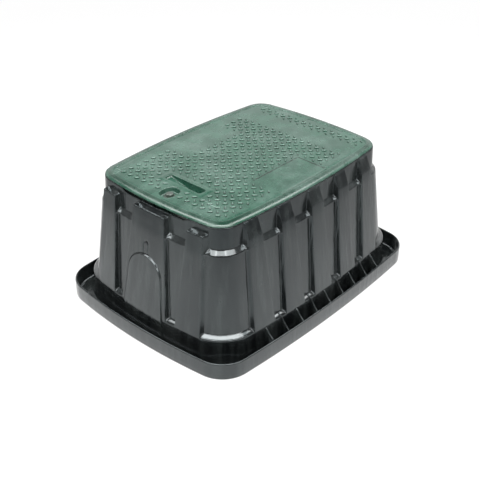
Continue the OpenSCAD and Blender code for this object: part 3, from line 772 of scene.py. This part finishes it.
BORDER_PATH = [
    (-17.1, 295.1), (-16.6, 295.1), (-16.2, 295.9), (-15.8, 296.6), (-15.0, 297.0), (-13.6, 297.0),
    (-8.0, 296.1), (-4.7, 295.4), (-4.1, 295.15), (-1.8, 293.65), (-1.3, 293.2), (-0.4, 292.1),
    (0.0, 291.2), (-0.3, 290.4), (-0.9, 290.0), (-1.6, 289.85), (-6.5, 289.85), (-6.5, 275.0),
    (-6.9, 274.1), (-7.8, SKIRT_LOW), (-8.8, SKIRT_LOW), (-9.6, 274.1), (-10.0, 275.0),
    (-10.0, 291.6), (-11.4, 293.0)]


def edge_normals(x, y):
    """Outward directions along the edge of the tread field."""
    at_corner = (np.abs(x) > SIDE_REACH) & (np.abs(y) > END_REACH)
    at_end = (np.abs(y) <= END_REACH * (1 + 1e-9)) & (np.abs(x) > 200)
    from_x = np.where(at_corner, RIM.cx, np.where(at_end, RIM.end_x, 0.0))
    from_y = np.where(at_corner, RIM.cy, np.where(at_end, 0.0, RIM.side_y))
    dx, dy = np.abs(x) - from_x, np.abs(y) - from_y
    length = np.hypot(dx, dy)
    return np.sign(x) * dx / length, np.sign(y) * dy / length


BAR_MARGIN = 6
BAR_START, BAR_PITCH, BAR_SHIFT = (-219.5, 132.0), (20.8, -20.35), (10.4, -10.2)
PLAIN_BOXES = [(-245, -192, -27, 27), (-195, -151, -63, 64), (-77, 77, -200, -86), (-79, 76, 90, 133),
               (150, 205, -200, 200), (-262, -229, -70, -14)]


def tread_marks():
    """Centres and directions of the raised bars: two families on one square lattice, half
    a pitch apart, left out where the lid is plain."""
    k, j = np.indices((22, 15)).reshape(2, -1)
    x, y = BAR_START[0] + BAR_PITCH[0] * k, BAR_START[1] + BAR_PITCH[1] * j
    x, y = np.concatenate([x, x + BAR_SHIFT[0]]), np.concatenate([y, y + BAR_SHIFT[1]])
    lean = np.repeat([-1.0, 1.0], len(x) // 2)
    keep = (np.abs(x) < field_edge_x(y) - BAR_MARGIN) & (np.abs(y) < field_edge_y(x) - BAR_MARGIN)
    past_corner = np.hypot(np.maximum(np.abs(x) - RIM.cx, 0), np.maximum(np.abs(y) - RIM.cy, 0))
    keep &= past_corner < FIELD_CORNER - BAR_MARGIN
    for low_x, high_x, low_y, high_y in PLAIN_BOXES:
        keep &= ~((x > low_x) & (x < high_x) & (y > low_y) & (y < high_y))
    return x[keep], y[keep], lean[keep]


BAR_RINGS = [(5.9, 2.3, -0.3), (5.4, 1.9, 1.1), (4.1, 0.85, BAR_RISE)]


def tread_bars(pieces):
    """Raised bars: rings of eight points for foot, shoulder and crest, turned to each bar's
    direction and laid on the field."""
    angle = np.arange(8) * math.pi / 4 + math.pi / 8
    half_long, half_wide, rise = np.array(BAR_RINGS).T[..., None]
    along = half_long * np.sign(np.cos(angle)) * np.abs(np.cos(angle)) ** 0.6
    across = half_wide * np.sin(angle)
    x, y, lean = (values[:, None, None] for values in tread_marks())
    px = x + math.sqrt(0.5) * (along - lean * across)
    py = y + math.sqrt(0.5) * (lean * along + across)
    points = stack(px, py, field_height(px, py) + rise)
    walls = grid_faces(3, 8, False, True)[:, ::-1]
    first = np.arange(len(x))[:, None, None] * 24
    crests = first[:, 0] + pieces.count
    # Tone of each bar: painted shade on its foot and shoulder rings, which darkens its sides, and a pale
    # crest that is partly wear and partly a painted highlight, paler on the bars that lean one way and face
    # the light.
    bar_wear_and_painted_light = np.where(lean < 0, 1.0, 0.6) * np.array([[0], [0], [1]])
    pieces.add(points, (first + walls[None]).reshape(-1, 4), np.broadcast_to(bar_wear_and_painted_light, px.shape))
    pieces.faces += (crests + np.arange(16, 24)[None]).tolist()
    pieces.faces += (crests + np.arange(7, -1, -1)[None]).tolist()


FINS = [((-251, y), (251, y)) for y in (-62, 62)] + [((x, -175), (x, 175)) for x in (-110, 0, 110)]
FIN_HALF, FIN_SINK = 1.5, 0.5


def fin(start, end):
    """A stiffening rib under the lid, as rings along its length: its lower edge is rounded
    and its top runs inside the plate."""
    start, end = np.array(start, float), np.array(end, float)
    along = (end - start) / np.linalg.norm(end - start)
    side = np.array([-along[1], along[0]]) * FIN_HALF
    across = np.array([1, 1, 0.8, 0.4, -0.4, -0.8, -1, -1])
    rise = np.array([0, 1, 0.4, 0, 0, 0.4, 1, 0])
    rings = []
    for t in np.linspace(0, 1, 9):
        at = start + t * (end - start)
        heights = SKIRT_LOW + rise
        heights[[0, -1]] = FIELD_Z - PLATE + float(crown_height(*at)) + FIN_SINK
        rings.append(stack(at[0] + across * side[0], at[1] + across * side[1], heights))
    return np.stack(rings)


def lid_shell(material):
    """The green moulding: the field's grid on top and beneath, joined round the skirt and
    through the bolt pocket, with the slot's well, the fins and the bars."""
    u, v = np.meshgrid(FIELD_U, FIELD_V, indexing="ij")
    x, y = field_point(u, v)
    top = stack(x, y, field_height(x, y))
    low = stack(x, y, FIELD_Z - PLATE + crown_height(x, y))
    pocket, slot = cell_loop(POCKET_CELLS), cell_loop(SLOT_CELLS)
    open_cells = np.zeros(u.shape, bool)
    for i, j in (pocket[:2], slot[:2]):
        open_cells[i.min():i.max(), j.min():j.max()] = True
    pieces = Pieces()
    faces = grid_faces(*u.shape, skip=open_cells)
    # Painted shade: a thin band along the sunk panel's two far edges gets a low tone, which darkens its
    # colour where the panel's wall stands in shade.
    panel_edge_painted_shade = in_box(x, y, -72.5, 72.8, -300, -89.7, 0.2) * (1 - in_box(x, y, -300, 71.2, -300, -91.3, 0.1))
    pieces.add(top, faces, PLAIN_POLISH - 0.2 * panel_edge_painted_shade)
    pieces.add(low, faces[:, ::-1])
    through = well(top[pocket[:2]], low[pocket[:2]], pocket, BOLT_X, POCKET_RINGS)
    ramp = well(top[slot[:2]], None, slot, SLOT_X, SLOT_RINGS)
    beneath = well(low[slot[:2]], None, slot, SLOT_X, SLOT_UNDER[::-1])
    for rings, order in ((through, -1), (ramp, -1), (beneath, 1)):
        pieces.add(rings, grid_faces(*rings.shape[:2], False, True)[:, ::order])
    edge = cell_loop((-MITRE_X, MITRE_X, -MITRE_Y, MITRE_Y))[:2]
    at_x, at_y = top[edge].T[:2]
    nx, ny = edge_normals(at_x, at_y)
    border = [stack(at_x + (g + FIELD_INSET) * nx, at_y + (g + FIELD_INSET) * ny, z) for g, z in BORDER_PATH]
    border = np.stack([top[edge]] + border + [low[edge]])
    # Painted shade: the border's sloping band gets the lower tone, which darkens its colour.
    slope = np.pad([-14.5 < g < -4.3 for g, z in BORDER_PATH], 1)
    tone = np.where(slope, BORDER_SLOPE_PAINTED_SHADE, PLAIN_POLISH)[:, None]
    pieces.add(border, grid_faces(*border.shape[:2], False, True), np.broadcast_to(tone, border.shape[:2]))
    for start, end in FINS:
        pieces.add_tube(fin(start, end))
    tread_bars(pieces)
    return pieces.mesh("lid_shell", material)


HEAD_LEVELS = (0.02, 0.1, 0.35, 0.6, 0.8, 1.2, 3.0, 4.8, 5.1, 5.35, 5.6, 5.8, 5.95, 6.0)


def bolt_shell(material):
    """The lock bolt as rings up its axis: a coned tip, a helical thread that runs out below
    a plain shank, and a hex head chamfered above and below."""
    angle = np.arange(72) * math.tau / 72
    hexagon = HEAD_FLAT / np.cos(angle % (math.pi / 3) - math.pi / 6)
    z = np.arange(BOLT_END + 1.0, THREAD_TOP + 2 * THREAD_PITCH, THREAD_PITCH / 8)[:, None]
    turn = np.cos(math.tau * (z / THREAD_PITCH - angle / math.tau))
    fade = hump(z, BOLT_END + 0.8, BOLT_END + 2.2, THREAD_TOP, THREAD_TOP + 1.5 * THREAD_PITCH)
    thread = BOLT_R - THREAD_DEPTH * fade * (0.5 + 0.5 * turn) ** 0.8
    rings = [(0.5, BOLT_END), (3.5, BOLT_END), (3.9, BOLT_END + 0.1), (4.5, BOLT_END + 0.7)]
    rings += list(zip(thread, z[:, 0]))
    rings += [(BOLT_R, HEAD_LOW - 0.6), (BOLT_R + 0.1, HEAD_LOW - 0.2)]
    rings += [(BOLT_R + 0.5, HEAD_LOW), (6.4, HEAD_LOW)]
    for height in HEAD_LEVELS:
        top_cone = 6.8 + 1.73 * (HEAD_TOP - HEAD_LOW - height)
        low_cone = 6.9 + 2.4 * height
        rings.append((np.minimum(hexagon, min(top_cone, low_cone)), HEAD_LOW + height))
    rings += [(6.3, HEAD_TOP), (0.5, HEAD_TOP)]
    shape = np.stack([stack(BOLT_X + r * np.cos(angle), r * np.sin(angle), height) for r, height in rings])
    pieces = Pieces()
    pieces.add_tube(shape[::-1])
    return pieces.mesh("bolt_shell", material, crease=35)


# Finishes


class Nodes:
    """Adds nodes to a tree. Each call gives back an output socket, and takes numbers,
    tuples or sockets for what goes in."""

    def __init__(self, tree, position):
        self.tree, self.position = tree, position

    def feed(self, socket, value):
        """Links a socket, or sets it. A colour's last value is 1."""
        if isinstance(value, bpy.types.NodeSocket):
            self.tree.links.new(value, socket)
        elif isinstance(value, tuple):
            socket.default_value = (*value, 1)[:len(socket.default_value)]
        else:
            socket.default_value = value

    def node(self, kind, output, settings, *first, **sockets):
        """One output of a new node, or all of them for None, given its settings, its first
        sockets in order and others by name, with underscores for spaces."""
        node = self.tree.nodes.new("ShaderNode" + kind)
        for label, value in settings.items():
            setattr(node, label, value)
        for socket, value in zip(node.inputs, first):
            self.feed(socket, value)
        for label, value in sockets.items():
            self.feed(node.inputs[label.replace("_", " ")], value)
        return node.outputs if output is None else node.outputs[output]

    def math(self, operation, a, b):
        """A Math node on two values."""
        return self.node("Math", 0, {"operation": operation}, a, b)

    def times(self, a, b):
        """The product of two values."""
        return self.math("MULTIPLY", a, b)

    def plus(self, a, b):
        """The sum of two values."""
        return self.math("ADD", a, b)

    def larger(self, a, b):
        """The larger of two values."""
        return self.math("MAXIMUM", a, b)

    def spread(self, value, low, high, to_low=0.0, to_high=1.0):
        """A smooth step of a value from one range to another."""
        return self.node("MapRange", "Result", {"interpolation_type": "SMOOTHSTEP"}, Value=value,
                         From_Min=low, From_Max=high, To_Min=to_low, To_Max=to_high)

    def noise(self, scale, detail=3.0, roughness=0.5, stretch=None):
        """Noise on the position, optionally stretched along the axes first."""
        position = self.position
        if stretch:
            position = self.node("Mapping", 0, {}, position, Scale=stretch)
        return self.node("TexNoise", "Fac", {}, Vector=position, Scale=scale, Detail=detail,
                         Roughness=roughness)

    def place(self, group, value):
        """A shared group that reads the position, given its value."""
        return self.node("Group", None, {"node_tree": group}, value, self.position)

    def mix(self, mask, a, b):
        """Colour a where the mask is 0 and b where it is 1."""
        node = self.tree.nodes.new("ShaderNodeMix")
        node.data_type = "RGBA"
        for number, value in ((0, mask), (6, a), (7, b)):
            self.feed(node.inputs[number], value)
        return node.outputs[2]

    def bump(self, height, distance, strength, **under):
        """A Bump node on a height, over another normal if there is one."""
        return self.node("Bump", "Normal", {}, Height=height, Distance=distance, Strength=strength, **under)

    def ray(self, kind):
        """1 for rays of a kind."""
        return self.node("LightPath", f"Is {kind} Ray", {})

    def seen(self):
        """1 for camera, glossy and transmission rays and 0 for the rays that light things."""
        return self.larger(self.larger(self.ray("Camera"), self.ray("Glossy")), self.ray("Transmission"))


def shared_group(build, given, *outputs):
    """A node group with a named value and a position, whose outputs a function builds."""
    tree = bpy.data.node_groups.new(build.__name__, "ShaderNodeTree")
    sockets = [(given, "INPUT", "Float"), ("Position", "INPUT", "Vector")]
    for label, way, kind in sockets + [(label, "OUTPUT", "Float") for label in outputs]:
        tree.interface.new_socket(label, in_out=way, socket_type="NodeSocket" + kind)
    start = tree.nodes.new("NodeGroupInput").outputs
    result = tree.nodes.new("NodeGroupOutput").inputs
    for label, socket in zip(outputs, build(Nodes(tree, start["Position"]), start[given])):
        tree.links.new(socket, result[label])
    return tree


def mould_grain(nodes, scale):
    """Mould grain: two sizes of fine noise as one height from 0 to 1."""
    fine = nodes.noise(scale, 2.0, 0.6)
    broad = nodes.noise(nodes.times(scale, 0.22), 2.0)
    return [nodes.times(nodes.plus(fine, broad), 0.5)]


def flow_streaks(nodes, strength):
    """Flow streaks: noise drawn out down the wall, and a slow change of tone along it."""
    lines = nodes.spread(nodes.noise(60.0, 3.0, 0.6, (1.0, 1.0, 0.05)), 0.42, 0.68)
    wide = nodes.noise(16.0, 2.0, 0.5, (1.0, 1.0, 0.12))
    return [nodes.times(lines, strength), nodes.spread(wide, 0.35, 0.7)]


def handling_marks(nodes, amount):
    """Handling marks: patches of short scratches in two directions, and clouds of dust."""
    first = nodes.spread(nodes.noise(150.0, 2.0, 0.6, (1.0, 0.12, 1.0)), 0.64, 0.74)
    second = nodes.spread(nodes.noise(170.0, 2.0, 0.6, (0.12, 1.0, 0.6)), 0.65, 0.76)
    patches = nodes.spread(nodes.noise(9.0, 3.0, 0.6), 0.5, 0.72)
    clouds = nodes.spread(nodes.noise(14.0, 5.0, 0.65), 0.4, 0.75)
    scratches = nodes.times(nodes.times(nodes.larger(first, second), patches), amount)
    return [scratches, nodes.times(clouds, amount)]


GRAIN = shared_group(mould_grain, "Scale", "Height")
STREAKS = shared_group(flow_streaks, "Strength", "Streaks", "Tone")
MARKS = shared_group(handling_marks, "Amount", "Scratches", "Dust")


class Finish(Nodes):
    """A material in the making, on the object's own position."""

    def __init__(self, name):
        self.material = bpy.data.materials.new(name)
        self.material.use_nodes = True
        tree = self.material.node_tree
        super().__init__(tree, tree.nodes.new("ShaderNodeTexCoord").outputs["Object"])
        self.shader = tree.nodes["Principled BSDF"]

    def polish(self):
        """The value stored at the points of the mesh: the body's polish, or the lid's tone with its painted
        shade and painted highlight.
        """
        return self.node("Attribute", "Fac", {"attribute_name": "polish"})

    def set(self, **sockets):
        """Values or links for the shader's sockets, with underscores for spaces."""
        for label, value in sockets.items():
            self.feed(self.shader.inputs[label.replace("_", " ")], value)
        return self.material

    def worn(self, marks, tone, dust, dust_tone, scratches, scratch_tone):
        """A tone under a share of dust and then of scratches, each with its own colour."""
        dusty = self.mix(self.times(marks["Dust"], dust), tone, dust_tone)
        return self.mix(self.times(marks["Scratches"], scratches), dusty, scratch_tone)


def body_plastic():
    """Black polyethylene: vertical flow streaks, a little dust, scuffs, fine grain."""
    finish = Finish("body_plastic")
    streaks, marks = finish.place(STREAKS, 1.0), finish.place(MARKS, 1.0)
    tone = finish.mix(streaks["Tone"], (0.003, 0.0035, 0.004), (0.009, 0.0105, 0.0105))
    lined = finish.mix(finish.times(streaks["Streaks"], 0.35), tone, (0.034, 0.040, 0.039))
    rough = finish.plus(0.16, finish.times(marks["Dust"], 0.08))
    waves = finish.bump(streaks["Streaks"], 0.0008, 0.4)
    return finish.set(
        Base_Color=finish.worn(marks, lined, 0.06, (0.12, 0.13, 0.125), 0.08, (0.20, 0.21, 0.21)),
        Roughness=finish.plus(rough, finish.times(marks["Scratches"], 0.05)),
        Normal=finish.bump(finish.place(GRAIN, 700.0)["Height"], 0.0002, 0.35, Normal=waves),
        IOR=1.5, Specular_IOR_Level=0.55, Specular_Tint=(0.84, 0.97, 1.0),
        Coat_Weight=finish.polish(), Coat_Roughness=0.1)


def lid_plastic():
    """Green polyethylene: cloudy bloom, painted shade along the panel's far edges, on the border's
    slope and on the bars' sides, pale bar crests that are partly wear and partly a painted
    highlight, with scuffs and fine grain."""
    finish = Finish("lid_plastic")
    marks = finish.place(MARKS, 1.0)
    clouds = finish.spread(finish.noise(26.0, 4.0, 0.6), 0.32, 0.72)
    tone = finish.mix(clouds, (0.004, 0.040, 0.023), (0.022, 0.074, 0.049))
    # Painted shade: where the stored tone is low, on the panel's far edges, the border's slope and the bars'
    # sides, the colour is darkened nearly to black.
    plain = finish.spread(finish.polish(), 0.0, 0.22)
    tone = finish.mix(plain, (0.001, 0.006, 0.003), tone)
    # Where the tone is high, on the bars' crests, the colour is made pale: partly wear and partly a painted
    # highlight.
    tone = finish.mix(finish.spread(finish.polish(), 0.3, 1.0, 0.0, 0.8), tone, (0.11, 0.21, 0.165))
    rough = finish.plus(0.21, finish.times(clouds, 0.12))
    rough = finish.plus(rough, finish.spread(plain, 0.0, 0.6, 0.6, 0.0))
    return finish.set(
        Base_Color=finish.worn(marks, tone, 0.2, (0.20, 0.28, 0.25), 0.5, (0.34, 0.44, 0.40)),
        Roughness=finish.plus(rough, finish.times(marks["Scratches"], 0.2)),
        Normal=finish.bump(finish.place(GRAIN, 850.0)["Height"], 0.0003, 0.5),
        IOR=1.5, Specular_IOR_Level=0.75)


def steel_finish(name, color, roughness, scale):
    """Plain steel: fine grain and a faint change of tone."""
    finish = Finish(name)
    dust = finish.place(MARKS, 1.0)["Dust"]
    return finish.set(
        Base_Color=finish.mix(dust, color, tuple(0.6 * c for c in color)), Metallic=1.0,
        Roughness=finish.plus(roughness, finish.times(dust, 0.15)),
        Normal=finish.bump(finish.place(GRAIN, scale)["Height"], 0.00015, 0.4))


def floor_white():
    """A pale floor that shows as white and still takes a soft shadow. Reflections of it
    darken with distance from the object's near corner."""
    finish = Finish("floor_white")
    finish.set(Base_Color=(0.86, 0.86, 0.86), Roughness=1.0, Specular_IOR_Level=0.0)
    near = (-0.3, -0.1, 0.0)
    away = finish.node("VectorMath", "Value", {"operation": "DISTANCE"}, finish.position, near)
    strength = finish.larger(finish.ray("Camera"), finish.spread(away, 0.3, 1.05, 1.0, 0.35))
    light = finish.node("Emission", 0, {}, Strength=strength)
    share = finish.times(finish.seen(), finish.spread(away, 1.2, 3.0, 0.72, 1.0))
    blend = finish.node("MixShader", 0, {}, share, finish.shader.outputs[0], light)
    finish.feed(finish.tree.nodes["Material Output"].inputs["Surface"], blend)
    return finish.material


STAGE_HALF = 40.0


def stage():
    """A pale floor far wider than the view, under a pale studio that is white to the
    camera and otherwise dims overhead, near the ground and in front."""
    data = bpy.data.meshes.new("floor")
    corners = [(STAGE_HALF * x, STAGE_HALF * y, 0) for x, y in ((-1, -1), (1, -1), (1, 1), (-1, 1))]
    data.from_pydata(corners, [], [(0, 1, 2, 3)])
    data.materials.append(floor_white())
    floor = placed("floor", data)
    world = bpy.data.worlds.new("studio")
    bpy.context.scene.world = world
    world.use_nodes = True
    tree = world.node_tree
    nodes = Nodes(tree, tree.nodes.new("ShaderNodeTexCoord").outputs["Generated"])
    x, y, z = nodes.node("SeparateXYZ", None, {}, nodes.position)
    back = nodes.plus(nodes.times(x, 0.743), nodes.times(y, 0.669))
    glow = nodes.times(nodes.spread(z, 0.44, 0.66, 1.25, 0.08), nodes.spread(z, 0.1, 0.4, 0.6, 1.0))
    glow = nodes.times(glow, nodes.spread(back, 0.0, 0.6, 0.3, 1.0))
    glow = nodes.times(glow, nodes.spread(nodes.seen(), 0, 1, 0.35, 1.0))
    background = tree.nodes["Background"]
    nodes.feed(background.inputs["Color"], (1, 1, 1))
    nodes.feed(background.inputs["Strength"], nodes.larger(glow, nodes.ray("Camera")))


def facing(azimuth, elevation, roll=0.0):
    """The turn that points +Z at a direction round the object, with X level before the roll."""
    turns = ((azimuth + 90, "Z"), (90 - elevation, "X"), (roll, "Z"))
    across, tilt, spin = (Matrix.Rotation(math.radians(angle), 4, axis) for angle, axis in turns)
    return across @ tilt @ spin


# Lamps as (name, azimuth, elevation, distance, width, height, radiance)
LAMPS = [
    ("overhead", -138, 76, 2.4, 2.8, 1.0, 9.0), ("front", -138, 44, 3.0, 1.9, 0.75, 6.0),
    ("front_left", -178, 38, 3.0, 1.9, 0.75, 6.0), ("front_right", -98, 38, 3.0, 1.9, 0.75, 6.0),
    ("right_rear", -13, 56, 3.0, 1.6, 1.2, 7.0), ("left_rear", 102, 57, 3.0, 1.6, 1.2, 7.0)]


def softbox(name, azimuth, elevation, distance, wide, tall, radiance):
    """A level rectangular area lamp at a direction round the object, aimed at its middle."""
    data = bpy.data.lights.new(name, "AREA")
    data.shape = "RECTANGLE"
    data.size, data.size_y = wide, tall
    data.energy = radiance * math.pi * wide * tall
    away = Matrix.Translation((0, 0, distance))
    obj = placed(name, data)
    obj.matrix_world = Matrix.Translation((0, 0, 0.15)) @ facing(azimuth, elevation) @ away


CAMERA_PLACE = (-1.22173, -1.08778, 1.10323)
CAMERA_TURN = (-138.0971, 31.8863, 0.2775)
FOCAL_PIXELS, PHOTO_PIXELS = 856.4834, 480


def camera():
    """The photograph's camera: its place and direction were fitted to the outlines."""
    data = bpy.data.cameras.new("camera")
    data.sensor_width = 36
    data.lens = FOCAL_PIXELS / PHOTO_PIXELS * data.sensor_width
    data.clip_end = 100
    obj = placed("camera", data)
    obj.matrix_world = Matrix.Translation(CAMERA_PLACE) @ facing(*CAMERA_TURN)
    bpy.context.scene.camera = obj


bolt_steel = steel_finish("bolt_steel", (0.17, 0.20, 0.18), 0.42, 1500.0)
clip_steel = steel_finish("clip_steel", (0.50, 0.51, 0.50), 0.36, 900.0)
dressed = [
    (body_shell(body_plastic()), "box", "body_plastic", "body"),
    (lid_shell(lid_plastic()), "lid", "lid_plastic", "lid"),
    (bolt_shell(bolt_steel), "bolt", "bolt_steel", "lock_bolt")]
for piece, body, slot, node in dressed:
    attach(piece, body)
    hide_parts(node)

for node, material in (("bolt_washer", bolt_steel), ("lock_clip", clip_steel)):
    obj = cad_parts[node]
    obj.data.materials.clear()
    obj.data.materials.append(material)

stage()
for lamp in LAMPS:
    softbox(*lamp)
camera()
bpy.context.scene.view_settings.view_transform = "Standard"
